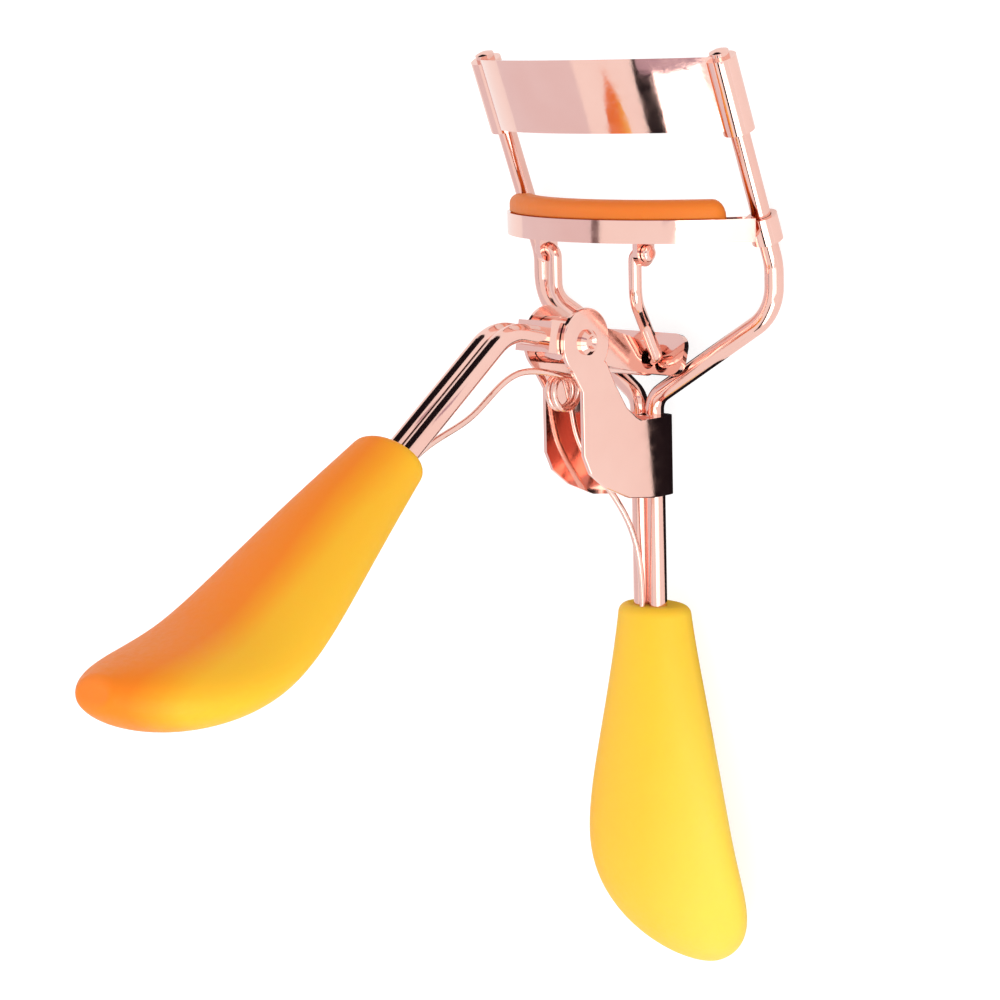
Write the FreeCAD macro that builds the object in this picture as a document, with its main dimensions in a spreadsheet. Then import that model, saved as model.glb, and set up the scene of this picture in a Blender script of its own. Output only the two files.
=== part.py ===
import FreeCAD, Part, Sketcher
import math, os
from FreeCAD import Vector, Placement, Rotation

# Eyelash curler, laid on its back.  Every piece is drawn in one working frame:
# x across the jaws, y up the handle towards the jaws, z to the front, where the
# moving handle swings.  Its zero is on the clamp's wire axis, level with the clamp's
# top.  The last section turns and lifts the whole tool so that it lies on z = 0.

os.makedirs("parts", exist_ok=True)
doc = FreeCAD.newDocument("eyelash_curler")

# ---------------------------------------------------------------- driving sizes (mm)
SIZES = [
    ("wire_dia", 2.2, "frame and lever wire"),
    ("pair_offset", 1.15, "half the spacing of two wires lying side by side"),
    ("post_span", 35.0, "spacing of the two guide posts"),
    ("post_lean", 21.5, "lean of the guide posts to the front, degrees"),
    ("fan_low_y", 2.0, "height where the frame wires part"),
    ("fan_high_y", 12.6, "height where the frame wires turn up into the sides"),
    ("fan_back", 1.8, "how far the side wires stand behind the clamp axis"),
    ("post_low_y", 18.1, "height where the side wires lean forward into posts"),
    ("frame_bend", 5.5, "bend radius of the frame wires"),
    ("post_stub", 0.6, "post left standing above the upper jaw"),
    ("plate_low_y", 33.3, "lower edge of the upper jaw"),
    ("plate_high_y", 41.5, "upper edge of the upper jaw"),
    ("plate_thick", 1.0, "upper jaw sheet"),
    ("jaw_sagitta", 9.2, "rise of the jaw arc over the post span"),
    ("wrap_wall", 0.7, "sheet wrapped round a post"),
    ("jaw_y", 21.0, "underside of the lower jaw, open"),
    ("channel_high", 2.6, "lower jaw channel height"),
    ("channel_wide", 3.9, "lower jaw channel width"),
    ("channel_sheet", 0.5, "lower jaw sheet"),
    ("guide_clear", 0.07, "running clearance of the lower jaw on the posts"),
    ("pad_high", 4.25, "lash pad height"),
    ("pad_side_gap", 0.0, "lash pad to channel wall"),
    ("pad_end_gap", 2.2, "lash pad end to post centre"),
    ("pad_guide_gap", 0.12, "lash pad to the lower jaw's guides"),
    ("pad_crown", 0.7, "rounding of the lash pad"),
    ("pivot_y", 10.0, "lever pivot above the clamp top"),
    ("pivot_z", 14.0, "lever pivot in front of the clamp axis"),
    ("pin_dia", 2.0, "pivot rivet shank"),
    ("pin_clear", 0.05, "running clearance on the pivot rivet"),
    ("pin_head_dia", 2.9, "pivot rivet head"),
    ("pin_head_high", 0.75, "pivot rivet head height"),
    ("head_wide", 5.0, "lever head width"),
    ("cheek_gap", 0.12, "lever head to clamp cheek"),
    ("cheek_sheet", 0.55, "clamp sheet"),
    ("lobe_radius", 3.9, "clamp cheek round the pivot"),
    ("clamp_fold", 1.5, "outside fold of the clamp sheet at the back"),
    ("clamp_low", 9.3, "clamp length below its top"),
    ("clamp_front", 14.8, "front edge of the clamp cheeks"),
    ("hook_y", 7.0, "link hole height, open"),
    ("hook_z", 2.6, "link hole in front of the clamp axis, open"),
    ("hook_clear", 0.5, "play of a link in the lever head"),
    ("hook_rest", 0.25, "how far back a link sits in its hole, open"),
    ("link_dia", 1.5, "link wire"),
    ("link_clear", 0.05, "running clearance of a link in its jaw lug"),
    ("link_low_x", 3.65, "link beside the lever head"),
    ("link_high_x", 6.0, "link below the lower jaw"),
    ("peen_dia", 2.0, "peened head of a link"),
    ("peen_high", 0.75, "height of a link's peened head"),
    ("hook_inside", 1.2, "end of a link's hook from the middle"),
    ("lug_y", 19.8, "link pin height at the lower jaw, open"),
    ("lug_sheet", 0.7, "lower jaw lug"),
    ("lug_gap", 0.2, "link to lug"),
    ("wing_wide", 13.0, "lever head cross plate"),
    ("wing_high", 4.9, "lever head cross plate height"),
    ("wing_sheet", 0.8, "lever head cross plate sheet"),
    ("wing_lean", 17.0, "cross plate lean to the back, degrees"),
    ("knee_z", 24.9, "knee of the lever wires"),
    ("lever_rise", 11.4, "rise of the lever wires before the knee, degrees"),
    ("lever_fall", 35.8, "fall of the lever wires after the knee, degrees"),
    ("knee_bend", 6.0, "bend radius at the knee"),
    ("knee_to_grip", 21.1, "lever wire from the knee to the grip mouth"),
    ("wire_in_grip", 21.0, "length of wire held in a grip"),
    ("fixed_grip_y", 22.75, "fixed grip mouth below the clamp top"),
    ("grip_long", 48.1, "grip length along its middle"),
    ("grip_straight", 24.9, "straight part of a grip"),
    ("grip_curl", 53.2, "curl of a grip's end, degrees"),
    ("grip_wide", 21.7, "grip width"),
    ("grip_thick", 9.1, "grip thickness"),
    ("grip_back", 0.75, "how far a grip's middle lies behind its wires"),
    ("leg_over_wire", 1.5, "spring leg in front of the wires, inside a grip"),
    ("spring_wire", 0.75, "spring wire"),
    ("spring_radius", 1.85, "spring coil radius"),
    ("spring_y", 4.2, "spring coil height"),
    ("spring_z", 14.8, "spring coil in front of the clamp axis"),
]


class Size:
    """A number that remembers the sheet expression it comes from."""

    def __init__(self, value, expr):
        self.value, self.expr = value, expr

    def _with(self, other, sign, flip=False):
        o = other if isinstance(other, Size) else Size(float(other), repr(float(other)))
        a, b = (o, self) if flip else (self, o)
        value = {"+": lambda: a.value + b.value, "-": lambda: a.value - b.value,
                 "*": lambda: a.value * b.value, "/": lambda: a.value / b.value}[sign]()
        return Size(value, "(%s %s %s)" % (a.expr, sign, b.expr))

    def __add__(self, o): return self._with(o, "+")
    def __radd__(self, o): return self._with(o, "+", True)
    def __sub__(self, o): return self._with(o, "-")
    def __rsub__(self, o): return self._with(o, "-", True)
    def __mul__(self, o): return self._with(o, "*")
    def __rmul__(self, o): return self._with(o, "*", True)
    def __truediv__(self, o): return self._with(o, "/")
    def __neg__(self): return 0 - self
    def __float__(self): return self.value


sheet = doc.addObject("Spreadsheet::Sheet", "sizes")
for row, (alias, number, note) in enumerate(SIZES, 1):
    sheet.set("A%d" % row, note)
    sheet.set("B%d" % row, str(number))
    sheet.setAlias("B%d" % row, alias)
doc.recompute()
S = {alias: Size(float(sheet.get(alias)), "sizes." + alias) for alias, _, _ in SIZES}
N = {alias: size.value for alias, size in S.items()}


# ---------------------------------------------------------------- drawing helpers
def tan_of(angle):
    return Size(math.tan(math.radians(angle.value)), "tan(%s * 1 deg)" % angle.expr)


def new_body(name):
    body = doc.addObject("PartDesign::Body", name)
    body.Label = name
    return body


def new_sketch(body, plane, offset=0.0):
    """A sketch on one of the body's own planes, moved along the plane's normal."""
    sk = body.newObject("Sketcher::SketchObject", body.Name + "_sketch")
    support = [f for f in body.Origin.OriginFeatures if f.Role == plane][0]
    sk.AttachmentSupport = (support, [""])
    sk.MapMode = "FlatFace"
    if isinstance(offset, Size):
        sk.setExpression("AttachmentOffset.Base.z", offset.expr)
    else:
        sk.AttachmentOffset = Placement(Vector(0, 0, offset), Rotation())
    return sk


def pin_point(sk, geo, pos, u, v):
    """Fix one sketch point from the sheet."""
    for kind, d in (("DistanceX", u), ("DistanceY", v)):
        i = sk.addConstraint(Sketcher.Constraint(kind, -1, 1, geo, pos, float(d)))
        if isinstance(d, Size):
            sk.setExpression("Constraints[%d]" % i, d.expr)


def polygon(sk, points):
    """A closed outline through points given as (u, v) sizes."""
    n = len(points)
    at = [Vector(float(u), float(v), 0) for u, v in points]
    first = sk.GeometryCount
    for i in range(n):
        sk.addGeometry(Part.LineSegment(at[i], at[(i + 1) % n]), False)
    for i in range(n):
        sk.addConstraint(Sketcher.Constraint("Coincident", first + i, 2,
                                             first + (i + 1) % n, 1))
    for i, (u, v) in enumerate(points):
        pin_point(sk, first + i, 1, u, v)
    return first


def circle(sk, u, v, radius):
    g = sk.addGeometry(Part.Circle(Vector(float(u), float(v), 0), Vector(0, 0, 1),
                                   float(radius)), False)
    pin_point(sk, g, 3, u, v)
    i = sk.addConstraint(Sketcher.Constraint("Radius", g, float(radius)))
    if isinstance(radius, Size):
        sk.setExpression("Constraints[%d]" % i, radius.expr)
    return g


def bind(obj, prop, size):
    setattr(obj, prop, float(size))
    if isinstance(size, Size):
        obj.setExpression(prop, size.expr)


def pad(body, sk, length, middle=False, cut=False):
    """Pad or pocket a sketch, to one side or evenly about its plane."""
    f = body.newObject("PartDesign::Pocket" if cut else "PartDesign::Pad",
                       body.Name + ("_cut" if cut else "_pad"))
    f.Profile = sk
    if middle:
        f.SideType = "Symmetric"
    bind(f, "Length", length)
    doc.recompute()
    return f


def rod(body, radius, height, base, direction, cut=False):
    """A round boss or hole along a direction, centred on its base point."""
    f = body.newObject("PartDesign::SubtractiveCylinder" if cut
                       else "PartDesign::AdditiveCylinder", body.Name + "_rod")
    bind(f, "Radius", radius)
    bind(f, "Height", height)
    turn = Rotation(Vector(0, 0, 1), direction)
    f.Placement = Placement(base - direction * (float(height) / 2.0), turn)
    doc.recompute()
    return f


def soften(body, radius, keep):
    """Fillet the edges of the body's tip that keep(edge) picks."""
    tip = body.Tip
    names = ["Edge%d" % (i + 1) for i, e in enumerate(tip.Shape.Edges) if keep(e)]
    if not names:
        return None
    f = body.newObject("PartDesign::Fillet", body.Name + "_fillet")
    f.Base = (tip, names)
    bind(f, "Radius", radius)
    doc.recompute()
    if f.Shape.isNull() or not f.Shape.isValid() or "Invalid" in f.State:
        body.removeObject(f)
        doc.removeObject(f.Name)
        body.Tip = tip
        doc.recompute()
        return None
    return f


def wire_line(points, bends):
    """A path of straight legs joined by arcs; bends holds one radius per corner."""
    edges, start = [], points[0]
    for i in range(1, len(points) - 1):
        corner = points[i]
        a = (points[i - 1] - corner).normalize()
        b = (points[i + 1] - corner).normalize()
        half = a.getAngle(b) / 2.0
        reach = bends[i - 1] / math.tan(half)
        middle = (a + b).normalize()
        p, q = corner + a * reach, corner + b * reach
        m = corner + middle * (bends[i - 1] / math.sin(half) - bends[i - 1])
        edges.append(Part.LineSegment(start, p).toShape())
        edges.append(Part.Arc(p, m, q).toShape())
        start = q
    edges.append(Part.LineSegment(start, points[-1]).toShape())
    return Part.Wire(edges)


def swept(path, radius, frenet=False):
    """Round wire along a path."""
    edge = path.Edges[0]
    t = edge.tangentAt(edge.FirstParameter)
    ring = Part.Wire(Part.makeCircle(radius, edge.valueAt(edge.FirstParameter), t))
    return path.makePipeShell([ring], True, frenet)


def round_end(tip, direction, radius):
    """A shallow domed end for a wire."""
    dome_radius, dome_rise = radius * 1.7, 0.3
    dome = Part.makeSphere(dome_radius, tip - direction * (dome_radius - dome_rise))
    return dome.common(Part.makeCylinder(radius, 1.0, tip - direction * 0.2, direction))


def mirrored(shape):
    return shape.mirror(Vector(0, 0, 0), Vector(1, 0, 0))


pieces = []


def keep_shape(name, shape):
    obj = doc.addObject("Part::Feature", name)
    obj.Label = name
    obj.Shape = shape
    pieces.append(obj)
    return obj


def keep_body(body):
    pieces.append(body)
    return body


# ---------------------------------------------------------------- shared positions
lean = math.radians(N["post_lean"])
POST = Vector(0, math.cos(lean), math.sin(lean))          # direction of the posts
half_span = S["post_span"] / 2
wire_r = S["wire_dia"] / 2


def post_at(y, side=1):
    """Point on a post's centreline at height y."""
    return Vector(side * N["post_span"] / 2, y,
                  -N["fan_back"] + (y - N["post_low_y"]) * math.tan(lean))


def post_z(y):
    return (y - S["post_low_y"]) * tan_of(S["post_lean"]) - S["fan_back"]


arc_radius = (half_span * half_span + S["jaw_sagitta"] * S["jaw_sagitta"]) / (S["jaw_sagitta"] * 2)
pivot = Vector(0, N["pivot_y"], N["pivot_z"])
hook = Vector(0, N["hook_y"], N["hook_z"])
ACROSS = Vector(1, 0, 0)

# The pad's crown has to meet the upper jaw's edge, which follows the posts.
pad_top_y = S["jaw_y"] + S["channel_sheet"] + S["pad_high"]
jaw_front_z = post_z(pad_top_y) + S["jaw_sagitta"]        # middle of the jaw arc, open
arc_axis_z = jaw_front_z - arc_radius


def arc_z(x):
    """Front-to-back position of the lower jaw's arc at x."""
    return arc_axis_z.value + math.sqrt(arc_radius.value ** 2 - x * x)


# ---------------------------------------------------------------- frame wires
def frame_wire(side):
    """One wire from the fixed grip, through the clamp, out and up into a guide post."""
    x = N["pair_offset"]
    wide = N["post_span"] / 2
    top = post_at(N["plate_high_y"] + N["post_stub"])
    path = wire_line([Vector(x, -N["fixed_grip_y"] - N["wire_in_grip"], 0),
                      Vector(x, N["fan_low_y"], 0),
                      Vector(wide, N["fan_high_y"], -N["fan_back"]),
                      Vector(wide, N["post_low_y"], -N["fan_back"]),
                      top],
                     [N["frame_bend"] * 0.45, N["frame_bend"], N["frame_bend"]])
    shape = swept(path, wire_r.value).fuse(round_end(top, POST, wire_r.value)).removeSplitter()
    return shape if side > 0 else mirrored(shape)


keep_shape("frame_wire_left", frame_wire(-1))
keep_shape("frame_wire_right", frame_wire(1))


# ---------------------------------------------------------------- upper jaw
def upper_jaw():
    """Curved sheet between the posts, wrapped round both of them."""
    body = new_body("upper_jaw")
    low = S["plate_low_y"]
    sk = new_sketch(body, "XZ_Plane", -low)
    front = post_z(low) + S["jaw_sagitta"]
    axis = front - arc_radius
    ends = []
    for r in (arc_radius + S["plate_thick"] / 2, arc_radius - S["plate_thick"] / 2):
        c = Vector(0, axis.value, 0)
        a = math.asin(half_span.value / r.value)
        g = sk.addGeometry(Part.ArcOfCircle(Part.Circle(c, Vector(0, 0, 1), r.value),
                                            math.pi / 2 - a, math.pi / 2 + a), False)
        pin_point(sk, g, 3, 0.0, axis)
        i = sk.addConstraint(Sketcher.Constraint("Radius", g, r.value))
        sk.setExpression("Constraints[%d]" % i, r.expr)
        for pos, side in ((1, 1), (2, -1)):
            i = sk.addConstraint(Sketcher.Constraint("DistanceX", -1, 1, g, pos,
                                                     side * half_span.value))
            sk.setExpression("Constraints[%d]" % i, (half_span * side).expr)
            z = axis.value + math.sqrt(r.value ** 2 - half_span.value ** 2)
            ends.append((g, pos, Vector(side * half_span.value, z, 0)))
    for a, b in ((0, 2), (1, 3)):
        g = sk.addGeometry(Part.LineSegment(ends[a][2], ends[b][2]), False)
        sk.addConstraint(Sketcher.Constraint("Coincident", g, 1, ends[a][0], ends[a][1]))
        sk.addConstraint(Sketcher.Constraint("Coincident", g, 2, ends[b][0], ends[b][1]))
    sheet_pad = body.newObject("PartDesign::Pad", "upper_jaw_sheet")
    sheet_pad.Profile = sk
    sheet_pad.UseCustomVector = True
    sheet_pad.Direction = POST
    sheet_pad.AlongSketchNormal = False
    high = (S["plate_high_y"] - low) / Size(math.cos(lean), "cos(sizes.post_lean * 1 deg)")
    bind(sheet_pad, "Length", high)
    doc.recompute()
    middle = (N["plate_low_y"] + N["plate_high_y"]) / 2
    for side in (-1, 1):
        rod(body, wire_r + S["wrap_wall"], high, post_at(middle, side), POST)
    for side in (-1, 1):
        rod(body, wire_r, high * 1.6, post_at(middle, side), POST, cut=True)
    return keep_body(body)


upper_jaw()


# ---------------------------------------------------------------- clamp
def clamp():
    """Folded clamp: a sleeve round the two frame wires and two cheeks for the pivot."""
    body = new_body("clamp")
    inside = S["head_wide"] + S["cheek_gap"] * 2
    outside = inside + S["cheek_sheet"] * 2
    back = -(wire_r + S["cheek_sheet"])
    front, low = S["clamp_front"], -S["clamp_low"]
    py, pz, lobe = S["pivot_y"], S["pivot_z"], S["lobe_radius"]
    sk = new_sketch(body, "YZ_Plane")
    polygon(sk, [(0.0, back), (low, back), (low, back + 4.6), (low + 0.5, back + 8.5),
                 (low + 2.2, front - 3.8), (low + 4.2, front - 1.1), (low + 6.4, front),
                 (py - 5.6, front), (py - 3.2, pz + lobe * 0.62), (py, pz),
                 (py - 2.6, pz - lobe * 0.86), (py - 5.2, pz - lobe * 1.22),
                 (py - 8.2, pz - lobe * 1.75), (0.6, 5.6), (0.0, 4.4)])
    pad(body, sk, outside, middle=True)
    sk = new_sketch(body, "YZ_Plane")
    circle(sk, py, pz, lobe)
    pad(body, sk, outside, middle=True)
    sk = new_sketch(body, "YZ_Plane")
    web = wire_r + S["cheek_sheet"]
    polygon(sk, [(low - 5, web), (low - 5, front + 20), (py + 20, front + 20), (py + 20, web)])
    pad(body, sk, inside, middle=True, cut=True)
    # both wires lie in one long slot
    sk = new_sketch(body, "XZ_Plane")
    polygon(sk, [(-S["pair_offset"], -wire_r), (S["pair_offset"], -wire_r),
                 (S["pair_offset"], wire_r), (-S["pair_offset"], wire_r)])
    pad(body, sk, S["clamp_low"] * 3, middle=True, cut=True)
    for side in (-1, 1):
        rod(body, wire_r, S["clamp_low"] * 3,
            Vector(side * N["pair_offset"], 0, 0), Vector(0, 1, 0), cut=True)
    rod(body, S["pin_dia"] / 2, outside * 1.5, pivot, ACROSS, cut=True)
    x, sheet_back = outside.value / 2, back.value
    # the sheet is folded round the wires at the back
    soften(body, N["clamp_fold"], lambda e: abs(e.BoundBox.ZMax - sheet_back) < 0.01
           and e.BoundBox.XLength < 0.01 and e.BoundBox.YLength > 3.0)
    soften(body, 0.22, lambda e: e.BoundBox.XLength < 0.01 and e.BoundBox.ZMin > 1.0
           and abs(abs(e.BoundBox.XMax) - x) < 0.01 and not is_pin_edge(e))
    return keep_body(body)


def is_pin_edge(e):
    c = e.BoundBox.Center
    return abs(c.y - pivot.y) < 0.2 and abs(c.z - pivot.z) < 0.2


clamp()
cheek_out = (S["head_wide"] / 2 + S["cheek_gap"] + S["cheek_sheet"])


# ---------------------------------------------------------------- pivot rivet
def pivot_rivet():
    """Rivet with a dimpled head on one side and a flat peened head on the other."""
    body = new_body("pivot_rivet")
    r, head, high = S["pin_dia"] / 2, S["pin_head_dia"] / 2, S["pin_head_high"]
    sk = new_sketch(body, "XY_Plane", S["pivot_z"])
    sk.setExpression("AttachmentOffset.Base.y", S["pivot_y"].expr)
    end = cheek_out + high
    polygon(sk, [(-end + 0.15, 0.0), (-end + 0.15, head - 0.35), (-cheek_out - 0.25, head),
                 (-cheek_out, head), (-cheek_out, r), (cheek_out, r), (cheek_out, head),
                 (cheek_out + 0.3, head), (end, head - 0.45), (end, 0.75), (end - 0.35, 0.4),
                 (end - 0.35, 0.0)])
    f = body.newObject("PartDesign::Revolution", "pivot_rivet_turned")
    f.Profile = sk
    f.ReferenceAxis = (sk, ["H_Axis"])
    f.Angle = 360
    doc.recompute()
    return keep_body(body)


rivet = pivot_rivet()


# ---------------------------------------------------------------- lower jaw and lash pad
def jaw_turn(body, sk, axis_line, half_x):
    """Turn a cross-section along the jaw arc, out to half_x on each side."""
    f = body.newObject("PartDesign::Revolution", body.Name + "_arc")
    f.Profile = sk
    f.ReferenceAxis = (sk, ["Axis%d" % axis_line])
    f.Midplane = True
    f.Angle = 2 * math.degrees(math.asin(float(half_x) / arc_radius.value))
    f.setExpression("Angle", "2 * asin(%s / %s)" % (half_x.expr, arc_radius.expr))
    doc.recompute()
    return f


def arc_axis(sk):
    """Construction line on the jaw arc's axis, for a revolution."""
    g = sk.addGeometry(Part.LineSegment(Vector(0, arc_axis_z.value, 0),
                                        Vector(10, arc_axis_z.value, 0)), True)
    pin_point(sk, g, 1, 0.0, arc_axis_z)
    pin_point(sk, g, 2, 10.0, arc_axis_z)


def lower_jaw():
    """Curved channel with a sliding guide at each end and two lugs for the links."""
    body = new_body("lower_jaw")
    low, high = S["jaw_y"], S["jaw_y"] + S["channel_high"]
    front = jaw_front_z + S["channel_wide"] / 2
    back = jaw_front_z - S["channel_wide"] / 2
    t = S["channel_sheet"]
    sk = new_sketch(body, "YZ_Plane")
    polygon(sk, [(low, back), (high, back), (high, back + t), (low + t, back + t),
                 (low + t, front - t), (high, front - t), (high, front), (low, front)])
    arc_axis(sk)
    jaw_turn(body, sk, 0, half_span - 0.4)
    middle = low.value + N["channel_high"] / 2
    tall = S["channel_high"] + 0.5
    for side in (-1, 1):
        rod(body, wire_r + S["wrap_wall"], tall, post_at(middle, side), POST)
    lug_in = S["link_high_x"] + S["link_dia"] / 2 + S["lug_gap"]
    lug_z = arc_z(lug_in.value + N["lug_sheet"] / 2) - 0.3
    for side in (-1, 1):
        at = Vector(side * (lug_in.value + N["lug_sheet"] / 2), N["lug_y"], lug_z)
        rod(body, S["link_dia"] / 2 + 0.75, S["lug_sheet"], at, ACROSS)
        box = body.newObject("PartDesign::AdditiveBox", "lower_jaw_lug")
        bind(box, "Length", S["lug_sheet"])
        bind(box, "Width", low + t / 2 - S["lug_y"])
        bind(box, "Height", S["link_dia"] + 1.5)
        box.Placement = Placement(at - Vector(N["lug_sheet"] / 2, 0, N["link_dia"] / 2 + 0.75),
                                  Rotation())
        doc.recompute()
    for side in (-1, 1):
        rod(body, wire_r + S["guide_clear"], tall * 3, post_at(middle, side), POST, cut=True)
        rod(body, S["link_dia"] / 2 + S["link_clear"], S["lug_sheet"] * 3,
            Vector(side * (lug_in.value + N["lug_sheet"] / 2), N["lug_y"], lug_z), ACROSS, cut=True)
    return keep_body(body), lug_z


lower, lug_z = lower_jaw()


def lash_pad():
    """Soft strip pressed into the channel, with a rounded crown."""
    body = new_body("lash_pad")
    low = S["jaw_y"] + S["channel_sheet"]
    top = low + S["pad_high"]
    half = S["channel_wide"] / 2 - S["channel_sheet"] - S["pad_side_gap"]
    c = S["pad_crown"]
    sk = new_sketch(body, "YZ_Plane")
    polygon(sk, [(low, jaw_front_z - half), (top - c, jaw_front_z - half),
                 (top - c * 0.3, jaw_front_z - half + c * 0.3), (top, jaw_front_z - half + c),
                 (top, jaw_front_z + half - c), (top - c * 0.3, jaw_front_z + half - c * 0.3),
                 (top - c, jaw_front_z + half), (low, jaw_front_z + half)])
    arc_axis(sk)
    jaw_turn(body, sk, 0, half_span - S["pad_end_gap"])
    top_y = top.value
    soften(body, 1.3, lambda e: abs(e.BoundBox.YMax - top_y) < 0.01 and e.BoundBox.YLength < 0.01
           and e.Length < 3.0 and abs(e.BoundBox.Center.x) > 8)
    for side in (-1, 1):
        # the strip's ends make room for the guides
        rod(body, wire_r + S["wrap_wall"] + S["pad_guide_gap"], S["pad_high"] * 4,
            post_at(top_y, side), POST, cut=True)
    return keep_body(body)


lash_pad()


# ---------------------------------------------------------------- lever head
rise, fall = math.radians(N["lever_rise"]), math.radians(N["lever_fall"])
ALONG = Vector(0, math.sin(rise), math.cos(rise))         # lever wires before the knee
DOWN = Vector(0, -math.sin(fall), math.cos(fall))         # lever wires after the knee
socket_start, socket_end = 2.1, 5.6


def lever_head():
    """Pivot barrel with wire sockets in front, and the link arm and cross plate behind."""
    body = new_body("lever_head")
    py, pz, hy, hz = S["pivot_y"], S["pivot_z"], S["hook_y"], S["hook_z"]
    wide = S["head_wide"]
    sk = new_sketch(body, "YZ_Plane")
    circle(sk, py, pz, 2.7)
    pad(body, sk, wide, middle=True)
    sk = new_sketch(body, "YZ_Plane")
    circle(sk, hy, hz, 2.05)
    pad(body, sk, wide, middle=True)
    sk = new_sketch(body, "YZ_Plane")
    polygon(sk, [(hy - 1.6, hz + 1.0), (py - 2.4, pz - 1.0), (py + 2.2, pz - 1.2),
                 (hy + 1.9, hz + 0.4)])
    pad(body, sk, wide, middle=True)
    sk = new_sketch(body, "YZ_Plane")
    up = Vector(0, math.cos(rise), -math.sin(rise)) * 1.75
    a, b = pivot + ALONG * 0.5, pivot + ALONG * socket_end
    polygon(sk, [(p.y, p.z) for p in (a - up, b - up, b + up, a + up)])
    pad(body, sk, wide, middle=True)
    plate = body.newObject("PartDesign::AdditiveBox", "lever_head_plate")
    bind(plate, "Length", S["wing_wide"])
    bind(plate, "Width", S["wing_high"])
    bind(plate, "Height", S["wing_sheet"])
    turn = Rotation(ACROSS, -N["wing_lean"])
    plate.Placement = Placement(hook + turn.multVec(Vector(-N["wing_wide"] / 2, -1.6, -2.05)), turn)
    doc.recompute()
    soften(body, 1.6, lambda e: abs(e.Length - N["wing_sheet"]) < 0.001
           and abs(e.BoundBox.Center.x) > N["wing_wide"] / 2 - 0.01)
    rod(body, S["pin_dia"] / 2 + S["pin_clear"], wide * 2, pivot, ACROSS, cut=True)
    rod(body, S["link_dia"] / 2 + S["hook_clear"], wide * 1.2, hook, ACROSS, cut=True)
    for side in (-1, 1):
        middle = pivot + ALONG * (socket_start + 4.0) + ACROSS * (side * N["pair_offset"])
        rod(body, wire_r, 8.0, middle, ALONG, cut=True)
    return keep_body(body)


lever_head()

# ---------------------------------------------------------------- lever wires
knee = pivot + ALONG * ((N["knee_z"] - N["pivot_z"]) / math.cos(rise))
mouth = knee + DOWN * N["knee_to_grip"]


def lever_wire(side):
    shift = ACROSS * (side * N["pair_offset"])
    path = wire_line([pivot + ALONG * socket_start + shift, knee + shift,
                      mouth + DOWN * N["wire_in_grip"] + shift], [N["knee_bend"]])
    return swept(path, wire_r.value)


keep_shape("lever_wire_left", lever_wire(-1))
keep_shape("lever_wire_right", lever_wire(1))


# ---------------------------------------------------------------- spring
def spring():
    """Coil between the cheeks, with one leg in each grip."""
    r, cy, cz = N["spring_radius"], N["spring_y"], N["spring_z"]
    turns, steps = 2.25, 10
    pts = []
    low_grip = Vector(0, -N["fixed_grip_y"], 0)
    # upper leg, from inside the moving grip back to the top of the coil
    under = Vector(0, -math.cos(fall), -math.sin(fall))
    leg = N["leg_over_wire"]
    pts += [mouth + DOWN * 9 + under * leg, mouth + DOWN * 3 + under * leg,
            mouth - DOWN * 5 + under * (leg + 0.8), mouth - DOWN * 12 + under * 4.4,
            Vector(0, cy + r + 1.1, cz + 7.0)]
    wide = 1.15 * N["spring_wire"] * turns
    for i in range(int(turns * steps) + 1):
        a = 2 * math.pi * i / steps
        pts.append(Vector(wide / 2 - wide * i / (turns * steps), cy + r * math.cos(a),
                          cz - r * math.sin(a)))
    pts += [Vector(-wide / 2, cy - 5.0, cz - r - 1.4), Vector(-wide / 4, -8.0, 6.6),
            Vector(0, -14.0, 2.9), low_grip + Vector(0, 1.5, leg),
            low_grip + Vector(0, -7.0, leg)]
    curve = Part.BSplineCurve()
    curve.interpolate(pts)
    return swept(Part.Wire([curve.toShape()]), N["spring_wire"] / 2, True)


spring_shape = spring()
keep_shape("spring", spring_shape)


# ---------------------------------------------------------------- grips
def grip_middle(s):
    """Point and tilt on a grip's middle line: straight, then an even curl."""
    straight, curl = N["grip_straight"], math.radians(N["grip_curl"])
    if s <= straight:
        return s, 0.0, 0.0
    bend = (N["grip_long"] - straight) / curl
    a = (s - straight) / bend
    return straight + bend * math.sin(a), bend * (1 - math.cos(a)), a


# station along the grip, width and thickness, each as a share of the full size
GRIP_STATIONS = [(0.00, 0.435, 0.75), (0.16, 0.545, 0.94), (0.32, 0.715, 1.00),
                 (0.48, 0.885, 0.99), (0.64, 1.000, 0.965), (0.78, 0.955, 0.93),
                 (0.88, 0.760, 0.81), (0.95, 0.500, 0.61), (1.00, 0.240, 0.39)]


def grip():
    """Grip lofted along local z from its mouth, curling towards local -y."""
    rings = []
    for share, w_share, t_share in GRIP_STATIONS:
        along, out, tilt = grip_middle(share * N["grip_long"])
        w, t = N["grip_wide"] * w_share / 2, N["grip_thick"] * t_share / 2
        ring = Part.Wire([Part.Ellipse(Vector(0, 0, 0), max(w, t + 0.01), t).toShape()])
        ring.Placement = Placement(Vector(0, -out, along), Rotation(ACROSS, math.degrees(tilt)))
        rings.append(ring)
    solid = Part.makeLoft(rings, True, False)
    caps = [f for f in solid.Faces if f.Surface.TypeId == "Part::GeomPlane"]
    edges = [e for f in caps for e in f.Edges]
    for mouth_r, tip_r in ((1.2, 1.3), (1.0, 1.0), (0.8, 0.7)):
        try:
            near = [e for e in edges if e.BoundBox.ZMax < 1.0]
            far = [e for e in edges if e.BoundBox.ZMax > 1.0]
            done = solid.makeFillet(mouth_r, near).makeFillet(tip_r, far)
            if done.isValid():
                return done
        except Exception:
            pass
    return solid


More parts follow.
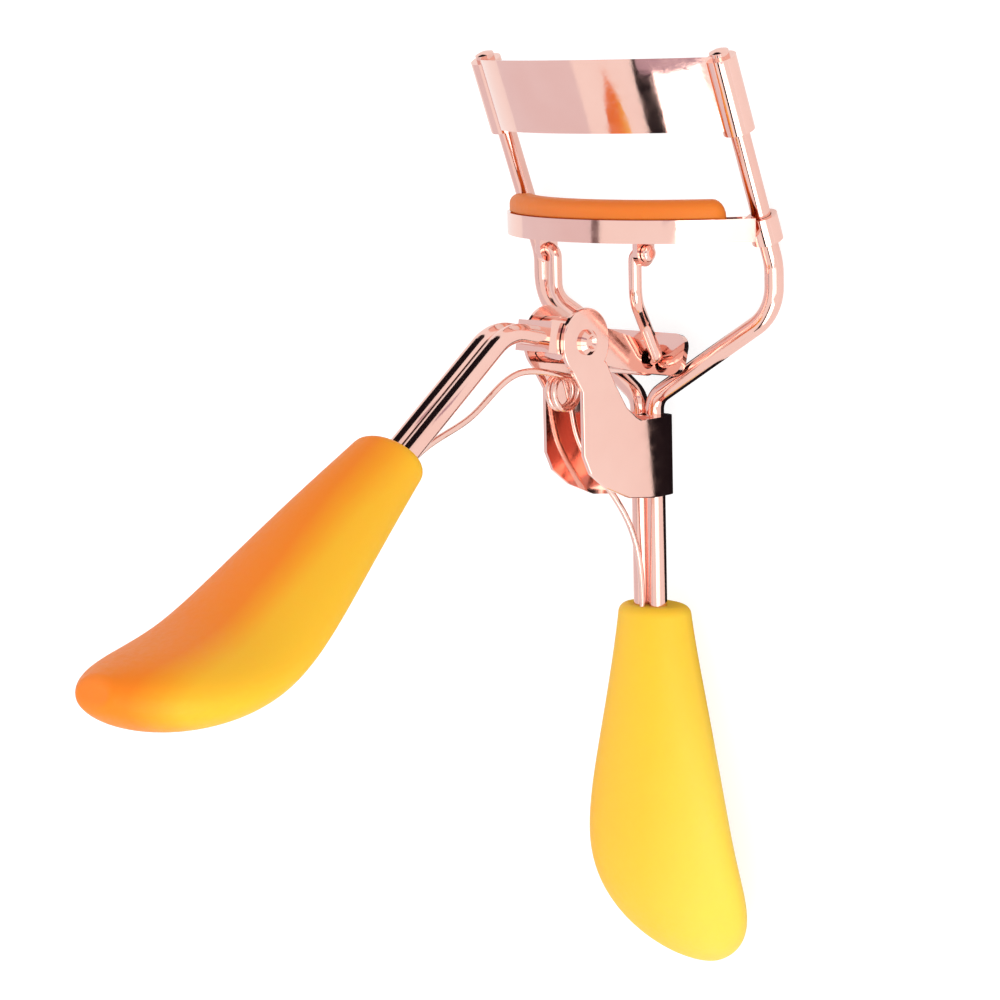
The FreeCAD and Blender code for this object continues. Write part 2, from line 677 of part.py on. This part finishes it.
def placed_grip(at, direction, front):
    """Place a grip: its mouth at a point, its curl away from the front direction."""
    local_y = front
    local_z = direction
    local_x = local_y.cross(local_z)
    m = FreeCAD.Matrix(local_x.x, local_y.x, local_z.x, at.x, local_x.y, local_y.y, local_z.y,
                       at.y, local_x.z, local_y.z, local_z.z, at.z, 0, 0, 0, 1)
    shape = grip()
    shape.Placement = Placement(m)
    return shape


def bores(solid, start, direction, reach):
    """Holes for two wires, and the spring's own hole, in a grip."""
    for side in (-1, 1):
        at = start - direction * 3 + ACROSS * (side * N["pair_offset"])
        solid = solid.cut(Part.makeCylinder(wire_r.value, reach + 3, at, direction))
    return solid.cut(spring_shape)


fixed_mouth = Vector(0, -N["fixed_grip_y"], 0)
fixed_front = Vector(0, 0, 1)
fixed = placed_grip(fixed_mouth - fixed_front * N["grip_back"], Vector(0, -1, 0), fixed_front)
keep_shape("fixed_grip", bores(fixed, fixed_mouth, Vector(0, -1, 0), N["wire_in_grip"]))
moving_front = Vector(0, -math.cos(fall), -math.sin(fall))
moving = placed_grip(mouth - moving_front * N["grip_back"], DOWN, moving_front)
keep_shape("moving_grip", bores(moving, mouth, DOWN, N["wire_in_grip"]))


# ---------------------------------------------------------------- links
def link(side):
    """Bent wire: a hook in the lever head, a shank, and a peened pin in a jaw lug."""
    low_x, high_x = N["link_low_x"], N["link_high_x"]
    lug_out = high_x + N["link_dia"] / 2 + N["lug_gap"] + N["lug_sheet"]
    hy, hz = N["hook_y"], N["hook_z"] - N["hook_rest"]
    pts = [Vector(N["hook_inside"], hy, hz), Vector(low_x, hy, hz), Vector(low_x + 0.5, hy + 4.3, hz + 2.8),
           Vector(high_x, N["lug_y"] - 5.4, lug_z), Vector(high_x, N["lug_y"], lug_z),
           Vector(lug_out + 0.7, N["lug_y"], lug_z)]
    shape = swept(wire_line(pts, [0.95, 3.0, 3.0, 0.95]), N["link_dia"] / 2)
    peen_r, peen_high = N["peen_dia"] / 2, N["peen_high"]
    head_x = lug_out + 0.12
    head = Part.makeCylinder(peen_r, peen_high, Vector(head_x, N["lug_y"], lug_z), ACROSS)
    rim = [e for e in head.Edges
           if e.BoundBox.XMin > head_x + peen_high / 2 and e.BoundBox.XLength < 0.01]
    shape = shape.fuse(head.makeFillet(peen_r / 2, rim)).removeSplitter()
    return shape if side > 0 else mirrored(shape)


keep_shape("link_left", link(-1))
keep_shape("link_right", link(1))

# ---------------------------------------------------------------- laying the tool down
doc.recompute()


def lowest(shape, turn):
    copy = shape.copy()
    copy.Placement = Placement(Vector(), turn).multiply(copy.Placement)
    return copy.optimalBoundingBox(False, False).ZMin


by_label = {p.Label: p for p in pieces}
frame_side, grip_end = by_label["frame_wire_right"].Shape, by_label["fixed_grip"].Shape
low_tilt, high_tilt = -25.0, 25.0
for _ in range(30):
    # the tool is level when its side wires and the fixed grip's end touch together
    tilt = (low_tilt + high_tilt) / 2
    turn = Rotation(ACROSS, tilt)
    if lowest(frame_side, turn) > lowest(grip_end, turn):
        high_tilt = tilt
    else:
        low_tilt = tilt
    if high_tilt - low_tilt < 1e-5:
        break
turn = Rotation(ACROSS, tilt)
whole = Part.makeCompound([p.Shape for p in pieces])
whole.Placement = Placement(Vector(), turn)
box = whole.optimalBoundingBox(False, False)
REST = Placement(Vector(-(box.XMin + box.XMax) / 2, -(box.YMin + box.YMax) / 2, -box.ZMin), turn)
for p in pieces:
    p.Placement = REST
doc.recompute()

# ---------------------------------------------------------------- checks and export
for obj in doc.Objects:
    bad = [s for s in obj.State if s in ("Invalid", "Error")]
    if bad:
        raise RuntimeError("%s is %s" % (obj.Label, bad))
for p in pieces:
    if p.Shape.isNull() or not p.Shape.isValid() or not p.Shape.Solids:
        raise RuntimeError("%s has no valid shape" % p.Label)
    p.Shape.exportStep("parts/%s.step" % p.Label)
print("tilt %.4f" % tilt, "shift", REST.Base)
for name, point in (("pivot", pivot), ("hook", hook), ("lug", Vector(0, N["lug_y"], lug_z))):
    print(name, REST.multVec(point))
print("post direction", turn.multVec(POST))
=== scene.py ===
import math

import bmesh
import bpy
from mathutils import Matrix, Vector


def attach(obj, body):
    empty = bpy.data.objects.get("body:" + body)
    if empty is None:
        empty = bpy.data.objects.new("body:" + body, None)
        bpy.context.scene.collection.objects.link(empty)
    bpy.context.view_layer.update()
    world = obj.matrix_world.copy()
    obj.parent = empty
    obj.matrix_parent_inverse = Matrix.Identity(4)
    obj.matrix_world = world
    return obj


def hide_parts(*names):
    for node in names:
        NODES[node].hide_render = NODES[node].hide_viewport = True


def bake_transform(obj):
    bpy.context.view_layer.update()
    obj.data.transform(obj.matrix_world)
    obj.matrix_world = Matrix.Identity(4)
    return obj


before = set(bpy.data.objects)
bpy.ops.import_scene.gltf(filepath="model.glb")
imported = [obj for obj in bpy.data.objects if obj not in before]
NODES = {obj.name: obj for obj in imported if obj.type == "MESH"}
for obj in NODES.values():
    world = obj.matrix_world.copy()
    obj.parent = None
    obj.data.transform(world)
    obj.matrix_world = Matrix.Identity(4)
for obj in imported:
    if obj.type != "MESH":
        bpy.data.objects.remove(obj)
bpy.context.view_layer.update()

# Eyelash curler: copper-pink plated wire and sheet, two soft yellow grips and an
# orange lash pad.  Lengths are in metres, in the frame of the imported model.
MM = 0.001
# how far the fixed handle slopes down towards the jaws, as the tool lies on its back
TILT = math.radians(6.0259)
# the handle's own directions: along it to the jaws, and out of its front
UP = Vector((0, math.cos(TILT), -math.sin(TILT)))
FRONT = Vector((0, math.sin(TILT), math.cos(TILT)))
HANDLE_ZERO = Vector((0, 13.2050, 4.7109)) * MM


def place(x, y, z):
    """A point given across, along and in front of the handle, in mm."""
    return HANDLE_ZERO + Vector((x * MM, 0, 0)) + UP * (y * MM) + FRONT * (z * MM)


# ---------------------------------------------------------------- materials
def node(tree, kind, **inputs):
    """A node with its settings (small first letter) and its inputs (capital first letter)."""
    n = tree.nodes.new("ShaderNode" + kind)
    for key, value in inputs.items():
        label = key.replace("_", " ")
        if key[0].isupper():
            n.inputs[label].default_value = value
        else:
            setattr(n, key, value)
    return n


def bare_material(name):
    """A material with nothing in its tree yet."""
    m = bpy.data.materials.new(name)
    m.use_nodes = True
    m.node_tree.nodes.clear()
    return m, m.node_tree


def show(tree, surface):
    """Send a finished surface to the material's output."""
    tree.links.new(surface, node(tree, "OutputMaterial").inputs["Surface"])


def material(name):
    """A material with its main shader already on the output."""
    m, tree = bare_material(name)
    shader = node(tree, "BsdfPrincipled")
    show(tree, shader.outputs["BSDF"])
    return m, tree, shader


def noise(tree, scale, detail, rough):
    """Noise on the piece's own coordinates, scale in lumps a metre."""
    coord = node(tree, "TexCoord")
    tex = node(tree, "TexNoise", Scale=scale, Detail=detail, Roughness=rough)
    tree.links.new(coord.outputs["Object"], tex.inputs["Vector"])
    return tex.outputs["Fac"]


def ramp(tree, value, stops):
    """Colours along a value."""
    r = node(tree, "ValToRGB")
    points = r.color_ramp.elements
    while len(points) < len(stops):
        points.new(0.5)
    for p, (at, colour) in zip(points, stops):
        p.position, p.color = at, (*colour, 1)
    tree.links.new(value, r.inputs["Fac"])
    return r.outputs["Color"]


def between(tree, value, low, high, from_low=0.3, from_high=0.7):
    """The value brought into a range; noise itself runs from about 0.3 to 0.7."""
    r = node(tree, "MapRange", From_Min=from_low, From_Max=from_high, To_Min=low, To_Max=high)
    tree.links.new(value, r.inputs["Value"])
    return r.outputs["Result"]


def bump(tree, shader, height, strength, distance, before=None):
    """A bump on the shader, laid over an earlier one if there is one."""
    b = node(tree, "Bump", Strength=strength, Distance=distance)
    tree.links.new(height, b.inputs["Height"])
    if before is not None:
        tree.links.new(before.outputs["Normal"], b.inputs["Normal"])
    tree.links.new(b.outputs["Normal"], shader.inputs["Normal"])
    return b


def plated(name, colour, dull, rough=(0.05, 0.13), ripple=0.12):
    """Bright copper-pink plating over polished steel."""
    m, tree, s = material(name)
    s.inputs["Metallic"].default_value = 1.0
    cloud = noise(tree, scale=90, detail=3, rough=0.6)
    tint = ramp(tree, cloud, [(0.35, colour), (0.75, dull)])
    tree.links.new(tint, s.inputs["Base Color"])
    haze = noise(tree, scale=700, detail=4, rough=0.65)
    tree.links.new(between(tree, haze, *rough), s.inputs["Roughness"])
    wave = noise(tree, scale=160, detail=1, rough=0.4)
    rolled = bump(tree, s, wave, strength=ripple, distance=0.2 * MM)
    grain = noise(tree, scale=2600, detail=2, rough=0.5)
    bump(tree, s, grain, strength=0.05, distance=0.04 * MM, before=rolled)
    return m


SHADE_BORDER_DRIFT = 3 * MM                      # how far the painted shade's border wanders
PAINTED_SHADE_START, PAINTED_SHADE_END = -20 * MM, 18 * MM  # where the painted shade's colours start and end, from side to side
WARM = (1.0, 0.35, 0.05)                # how far red, green and blue light runs under the skin


def moulded(name, across, stops):
    """Soft-touch moulded plastic with painted shade, its colour shifting from side to side, with a
    fine matt grain.
    """
    m, tree, s = material(name)
    cloud = noise(tree, scale=40, detail=3, rough=0.55)
    coord = node(tree, "TexCoord")
    side = node(tree, "VectorMath", operation="DOT_PRODUCT")
    side.inputs[1].default_value = across
    tree.links.new(coord.outputs["Object"], side.inputs[0])
    uneven = node(tree, "Math", operation="MULTIPLY_ADD")
    uneven.inputs[1].default_value = SHADE_BORDER_DRIFT
    tree.links.new(cloud, uneven.inputs[0])
    tree.links.new(side.outputs["Value"], uneven.inputs[2])
    # painted shade: the colour runs across the piece from its shaded stop to its lit stop
    painted_shade = between(tree, uneven.outputs[0], 0, 1, PAINTED_SHADE_START, PAINTED_SHADE_END)
    tree.links.new(ramp(tree, painted_shade, stops), s.inputs["Base Color"])
    fine = noise(tree, scale=1500, detail=3, rough=0.6)
    tree.links.new(between(tree, fine, 0.42, 0.56), s.inputs["Roughness"])
    s.inputs["Subsurface Weight"].default_value = 0.35
    s.inputs["Subsurface Radius"].default_value = WARM
    s.inputs["Subsurface Scale"].default_value = 3.5 * MM
    s.inputs["Specular IOR Level"].default_value = 0.22
    lumps = bump(tree, s, cloud, strength=0.05, distance=0.2 * MM)
    bump(tree, s, fine, strength=0.10, distance=0.06 * MM, before=lumps)
    return m


PLATE = plated("copper_pink_plating", (0.94, 0.61, 0.53), (0.91, 0.56, 0.48))
WIRE = plated("copper_pink_wire", (0.93, 0.59, 0.51), (0.88, 0.52, 0.44),
              rough=(0.06, 0.13), ripple=0.06)
SPRING = plated("spring_wire", (0.93, 0.64, 0.56), (0.84, 0.52, 0.44),
                rough=(0.12, 0.24), ripple=0.05)
# painted shade: both grips are orange on their left, away from the key lamp, past a short border
# to yellow on their lit right
GRIP = moulded("yellow_soft_touch", (0.97, -0.15, -0.15), [
    (0.10, (0.96, 0.22, 0.008)),
    (0.30, (0.97, 0.24, 0.007)),
    (0.37, (1.00, 0.37, 0.012)),
    (0.42, (1.00, 0.50, 0.022)),
    (0.50, (1.00, 0.54, 0.026)),
    (0.68, (1.00, 0.57, 0.034)),
    (0.90, (1.00, 0.66, 0.075)),
])
# painted shade: the pad is darker at its top and back and brighter towards its bottom front, the
# side the key lamp lights
PAD = moulded("orange_lash_rubber", (0.60, -0.75, 0.30), [
    (0.0, (0.80, 0.19, 0.022)),
    (1.0, (0.95, 0.31, 0.006)),
])

# ---------------------------------------------------------------- modelled pieces, in mm
ARC_RADIUS, ARC_FRONT = 21.244, 10.413      # curve of the jaws, and how far in front its middle is
PAD_LOW, LIP, PAD_TOP = 21.5, 23.6, 25.75   # channel floor, channel edge and crown of the pad
PAD_HALF, PAD_SWELL = 1.44, 1.72            # half width in the channel, and swollen over its edge
SWELL_RISE = 0.14                           # height in which the pad swells out over the edge
CROWN_ROUND, SWELL_ROUND = 1.15, 0.10       # rounding of the crown, and of the swollen edge
PAD_TURN, PAD_STEPS = 46.0, 60              # half of the pad's arc in degrees, and its divisions
NOSE_LONG, NOSE_STEPS = 1.5, 6              # length of the pad's round ends, and their divisions
NOSE_TIP = 0.42                             # size of an end's last face, as a share of the section
NOSE_AXIS = 0.9                             # height over the channel floor that the ends shrink to
MELT = 0.002 * MM                           # points nearer than this are one point
NEAR = 0.02 * MM                            # what counts as lying in a plane
SAME_WAY = 0.999                            # what counts as facing along a direction


def choose(obj, kind, wanted):
    """Select what is wanted of a mesh in edit mode, and nothing else."""
    bpy.ops.mesh.select_mode(type=kind)
    bpy.ops.mesh.select_all(action="DESELECT")
    bm = bmesh.from_edit_mesh(obj.data)
    for part in {"VERT": bm.verts, "EDGE": bm.edges, "FACE": bm.faces}[kind]:
        if wanted(part):
            part.select_set(True)
    bm.select_flush_mode()
    bmesh.update_edit_mesh(obj.data)


def extrude(by):
    """Pull new faces out of what is selected."""
    bpy.ops.mesh.extrude_region_move(TRANSFORM_OT_translate={"value": by})


def finished(obj, look, angle=40):
    """Close up, turn the faces outwards and smooth the shading."""
    bpy.ops.mesh.select_all(action="SELECT")
    bpy.ops.mesh.remove_doubles(threshold=MELT)
    bpy.ops.mesh.normals_make_consistent(inside=False)
    bpy.ops.object.mode_set(mode="OBJECT")
    bpy.ops.object.shade_smooth_by_angle(angle=math.radians(angle))
    obj.data.materials.clear()
    obj.data.materials.append(look)
    return obj


def pad_section():
    """The strip's section, flat: narrow in the channel, swollen over its edges, round on top."""
    bpy.ops.object.select_all(action="DESELECT")
    bpy.ops.mesh.primitive_plane_add(size=1)
    pad = bpy.context.object
    pad.name = "lash_strip"
    deep, swell = (LIP - PAD_LOW) * MM, SWELL_RISE * MM
    bpy.ops.object.mode_set(mode="EDIT")
    bpy.ops.mesh.select_all(action="SELECT")
    bpy.ops.transform.resize(value=(2 * PAD_HALF * MM, deep, 1))
    bpy.ops.transform.translate(value=(0, deep / 2, 0))
    choose(pad, "EDGE", lambda e: min(v.co.y for v in e.verts) > deep - NEAR)
    extrude((0, swell, 0))
    bpy.ops.transform.resize(value=(PAD_SWELL / PAD_HALF, 1, 1))
    extrude((0, (PAD_TOP - LIP) * MM - swell, 0))
    choose(pad, "VERT", lambda v: v.co.y > (PAD_TOP - PAD_LOW) * MM - NEAR)
    bpy.ops.mesh.bevel(offset=CROWN_ROUND * MM, segments=7, affect="VERTICES")
    choose(pad, "VERT", lambda v: abs(v.co.y - deep - swell) < NEAR)
    bpy.ops.mesh.bevel(offset=SWELL_ROUND * MM, segments=3, affect="VERTICES")
    bpy.ops.object.mode_set(mode="OBJECT")
    return pad


def nose(pad, axis, side, turn):
    """Draw one end of the strip out in shrinking steps, as a quarter of an oval."""
    out = FRONT * math.cos(turn) + Vector((side * math.sin(turn), 0, 0))
    ahead = Vector((side * math.cos(turn), 0, 0)) - FRONT * math.sin(turn)
    foot = axis + out * ARC_RADIUS * MM + UP * (PAD_LOW + NOSE_AXIS) * MM
    choose(pad, "FACE", lambda f: abs(f.normal.dot(ahead)) > SAME_WAY
           and abs((f.calc_center_median() - foot).dot(ahead)) < NEAR)
    size = 1.0
    for i in range(1, NOSE_STEPS + 1):
        a, b = (math.sin(math.pi / 2 * k / NOSE_STEPS) for k in (i - 1, i))
        step = ahead * (b - a) * NOSE_LONG * MM
        foot = foot + step
        smaller = NOSE_TIP + (1 - NOSE_TIP) * math.cos(math.pi / 2 * i / NOSE_STEPS)
        extrude(step)
        bpy.ops.transform.resize(value=(smaller / size,) * 3, center_override=foot)
        size = smaller


def lash_pad():
    """Soft strip pressed into the channel, turned round the jaw's curve, with drooping ends."""
    pad = pad_section()
    # stand the section at the left end of the arc and turn it round to the right end
    axis = place(0, 0, ARC_FRONT - ARC_RADIUS)
    turn = math.radians(PAD_TURN) - NOSE_LONG / ARC_RADIUS
    outward = FRONT * math.cos(turn) - Vector((math.sin(turn), 0, 0))
    stand = Matrix((outward, UP, outward.cross(UP))).transposed().to_4x4()
    foot = axis + outward * ARC_RADIUS * MM + UP * PAD_LOW * MM
    pad.data.transform(Matrix.Translation(foot) @ stand)
    bpy.ops.object.mode_set(mode="EDIT")
    bpy.ops.mesh.select_all(action="SELECT")
    bpy.ops.mesh.spin(steps=PAD_STEPS, angle=2 * turn, center=axis, axis=-UP)
    for side in (-1, 1):
        nose(pad, axis, side, turn)
    return finished(pad, PAD)


def spring_wire():
    """The coil spring as one joined-up wire."""
    shape = NODES["spring"]
    bpy.ops.object.select_all(action="DESELECT")
    wire = bpy.data.objects.new("coil_spring", shape.data.copy())
    bpy.context.scene.collection.objects.link(wire)
    wire.data.transform(shape.matrix_world)
    wire.select_set(True)
    bpy.context.view_layer.objects.active = wire
    bpy.ops.object.mode_set(mode="EDIT")
    return finished(wire, SPRING, angle=60)


strip = lash_pad()
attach(strip, "lower_jaw")
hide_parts("lash_pad")
# the coil spring as one joined-up copy; on the tool its lower leg stays in the fixed grip and its
# upper leg swings with the lever
coil = spring_wire()
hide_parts("spring")
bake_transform(coil)

FINISH = {"fixed_grip": GRIP, "moving_grip": GRIP,
          "upper_jaw": PLATE, "lower_jaw": PLATE, "clamp": PLATE, "lever_head": PLATE}
for name, obj in NODES.items():
    obj.data.materials.clear()
    obj.data.materials.append(FINISH.get(name, WIRE))


# ---------------------------------------------------------------- floor and light
def staged(obj):
    """Hand back an object of the studio as it is."""
    return obj


def lamp(name, at, aim, size, power):
    """A soft square lamp aimed at a point."""
    data = bpy.data.lights.new(name, "AREA")
    data.shape, data.size, data.energy = "SQUARE", size, power
    obj = bpy.data.objects.new(name, data)
    bpy.context.scene.collection.objects.link(obj)
    obj.location = at
    obj.rotation_mode = "QUATERNION"
    obj.rotation_quaternion = (aim - at).to_track_quat("-Z", "Y")


def white_for_seeing(tree, level):
    """1 for rays from the camera, off metal or through glass, level for the light itself."""
    path = node(tree, "LightPath")
    either = node(tree, "Math", operation="MAXIMUM")
    tree.links.new(path.outputs["Is Camera Ray"], either.inputs[0])
    tree.links.new(path.outputs["Is Glossy Ray"], either.inputs[1])
    all_three = node(tree, "Math", operation="MAXIMUM")
    tree.links.new(either.outputs[0], all_three.inputs[0])
    tree.links.new(path.outputs["Is Transmission Ray"], all_three.inputs[1])
    return between(tree, all_three.outputs[0], level, 1, 0, 1)


SKY_LIGHT = 0.95                            # strength of the even light all round
FLOOR_SIZE, FLOOR_DROP = 6, 0.02 * MM       # the floor lies just under the tool
FLOOR_GREY = (0.42, 0.42, 0.42, 1)
FLOOR_GLOW, FLOOR_IN_METAL = 0.25, 0.52     # the floor's own light, and what the metal mirrors
FLOOR_SEEN = 0.50                           # whiteness added where the floor itself is seen

world = bpy.data.worlds.new("studio")
bpy.context.scene.world = world
world.use_nodes = True
wt = world.node_tree
wt.nodes.clear()
sky = node(wt, "Background", Color=(1, 1, 1, 1))
wt.links.new(white_for_seeing(wt, SKY_LIGHT), sky.inputs["Strength"])
wt.links.new(sky.outputs[0], node(wt, "OutputWorld").inputs["Surface"])


def pale_floor():
    """Plain white floor: a soft grey that takes shadows, lifted to white by its own glow."""
    bpy.ops.object.select_all(action="DESELECT")
    bpy.ops.mesh.primitive_plane_add(size=FLOOR_SIZE, location=(0, 0, -FLOOR_DROP))
    floor = staged(bpy.context.object)
    floor.name = "floor"
    m, tree = bare_material("pale_floor")
    diffuse = node(tree, "BsdfDiffuse", Color=FLOOR_GREY)
    glow = node(tree, "Emission", Color=(1, 1, 1, 1))
    path = node(tree, "LightPath")
    own = between(tree, path.outputs["Is Glossy Ray"], FLOOR_GLOW, FLOOR_IN_METAL, 0, 1)
    seen = node(tree, "Math", operation="MULTIPLY_ADD")
    seen.inputs[1].default_value = FLOOR_SEEN
    tree.links.new(path.outputs["Is Camera Ray"], seen.inputs[0])
    tree.links.new(own, seen.inputs[2])
    tree.links.new(seen.outputs[0], glow.inputs["Strength"])
    both = node(tree, "AddShader")
    tree.links.new(diffuse.outputs[0], both.inputs[0])
    tree.links.new(glow.outputs[0], both.inputs[1])
    show(tree, both.outputs[0])
    floor.data.materials.append(m)


pale_floor()
MIDDLE = Vector((0, 0, 0.035))              # middle of the tool, which the lamps face
AWAY = 0.70                                 # how far off the lamps and the bright card stand
KEY_FROM = Vector((0.56, -0.59, 0.58)).normalized()
OVER_FROM = Vector((0.609, 0.01, 0.793)).normalized()
SIDE_FROM = Vector((0.84, 0.01, 0.545)).normalized()
lamp("key", MIDDLE + KEY_FROM * AWAY, MIDDLE, size=0.45, power=1.6)
lamp("over", MIDDLE + OVER_FROM * AWAY, MIDDLE, size=0.31, power=0.6)


# ---------------------------------------------------------------- cards for painted reflections in the metal
def card(name, look, centre, facing, width, height, along):
    """A card that only the bright metal sees, to paint reflected streaks, patches and highlights
    into it.
    """
    bpy.ops.object.select_all(action="DESELECT")
    bpy.ops.mesh.primitive_plane_add(size=1)
    sheet = staged(bpy.context.object)
    sheet.name = name
    out = Vector(facing).normalized()
    side = Vector(along).cross(out).normalized()
    turn = Matrix((side, out.cross(side), out)).transposed().to_4x4()
    size = Matrix.Diagonal((width, height, 1, 1))
    sheet.data.transform(Matrix.Translation(centre) @ turn @ size)
    sheet.data.materials.append(look)
    for ray in ("camera", "diffuse", "shadow", "transmission", "volume_scatter"):
        setattr(sheet, "visible_" + ray, False)


def card_look(name, colour):
    """A card's own even brightness."""
    m, tree = bare_material(name)
    show(tree, node(tree, "Emission", Color=(*colour, 1)).outputs[0])
    return m


# card colours for painted reflections and a painted highlight in the metal
PAINTED_DARK_REFLECTION = card_look("painted_dark_reflection_card", (0.012, 0.009, 0.012))
PAINTED_GREY_REFLECTION = card_look("painted_grey_reflection_card", (0.83, 0.80, 0.86))
PAINTED_SHADE_PATCH = card_look("painted_shade_card", (0.50, 0.40, 0.50))
PAINTED_SMOKE_REFLECTION = card_look("painted_smoke_reflection_card", (0.22, 0.17, 0.18))
PAINTED_HIGHLIGHT = card_look("painted_highlight_card", (2.0, 2.0, 2.0))

# painted reflections: dark stripes down the lever wires, and across the plate and the sleeve
card("card_behind", PAINTED_DARK_REFLECTION, Vector((-0.048, 0.16, 0.043)), (0, -1, 0), 0.20, 0.085, (0, 0, 1))
ABOVE = Vector((0.270, -0.638, 0.718)).normalized()
card("card_above", PAINTED_DARK_REFLECTION, Vector((0, 0.052, 0.01)) + ABOVE * 0.40, -ABOVE, 0.075, 0.30, UP)

# a small card beside the upper jaw, painting a grey patch of shade into the plate's reflection
NEAR_LEFT, NEAR_RIGHT = Vector((18.3, 38.4, 38.2)) * MM, Vector((40.0, 41.2, 24.0)) * MM
NEAR_HIGH = 8 * MM
run = NEAR_RIGHT - NEAR_LEFT
rise = (Vector((0, 1, 0)) - run * run.y / run.length_squared).normalized()
card("card_near", PAINTED_SHADE_PATCH, (NEAR_LEFT + NEAR_RIGHT) / 2 + rise * NEAR_HIGH / 2, run.cross(rise),
     run.length, NEAR_HIGH, rise)

# painted reflections under the tool, on its left and high on its left, and a painted highlight
# from the bright one on its right
card("card_below", PAINTED_DARK_REFLECTION, Vector((0, -0.002, 0.0006)), (0, 0, 1), 0.02, 0.05, (0, 1, 0))
card("card_left", PAINTED_GREY_REFLECTION, Vector((-0.35, -0.12, 0.35)), (1, 0, 0), 0.90, 0.70, (0, 0, 1))
card("card_left_top", PAINTED_SMOKE_REFLECTION, Vector((-0.345, 0.03, 0.74)), (1, 0, 0), 0.20, 0.17, (0, 0, 1))
# painted highlight: a glowing card, no lamp, that only the metal sees
card("card_right", PAINTED_HIGHLIGHT, MIDDLE + SIDE_FROM * AWAY, -SIDE_FROM, 0.30, 0.28, (0, 1, 0))

# ---------------------------------------------------------------- camera
CAMERA_AT = Vector((224.413, 88.614, 264.611)) * MM
RIGHT = Vector((0.73404, -0.09632, -0.67224))
TOP = Vector((-0.09245, 0.96650, -0.23942))
SENSOR, FOCAL = 36, 107.85
data = bpy.data.cameras.new("camera")
data.sensor_width, data.lens = SENSOR, FOCAL
data.clip_start, data.clip_end = 0.01, 20
camera = bpy.data.objects.new("camera", data)
bpy.context.scene.collection.objects.link(camera)
axes = Matrix((RIGHT, TOP, RIGHT.cross(TOP))).transposed()
camera.matrix_world = Matrix.Translation(CAMERA_AT) @ axes.to_4x4()
bpy.context.scene.camera = camera
bpy.context.scene.view_settings.view_transform = "Standard"
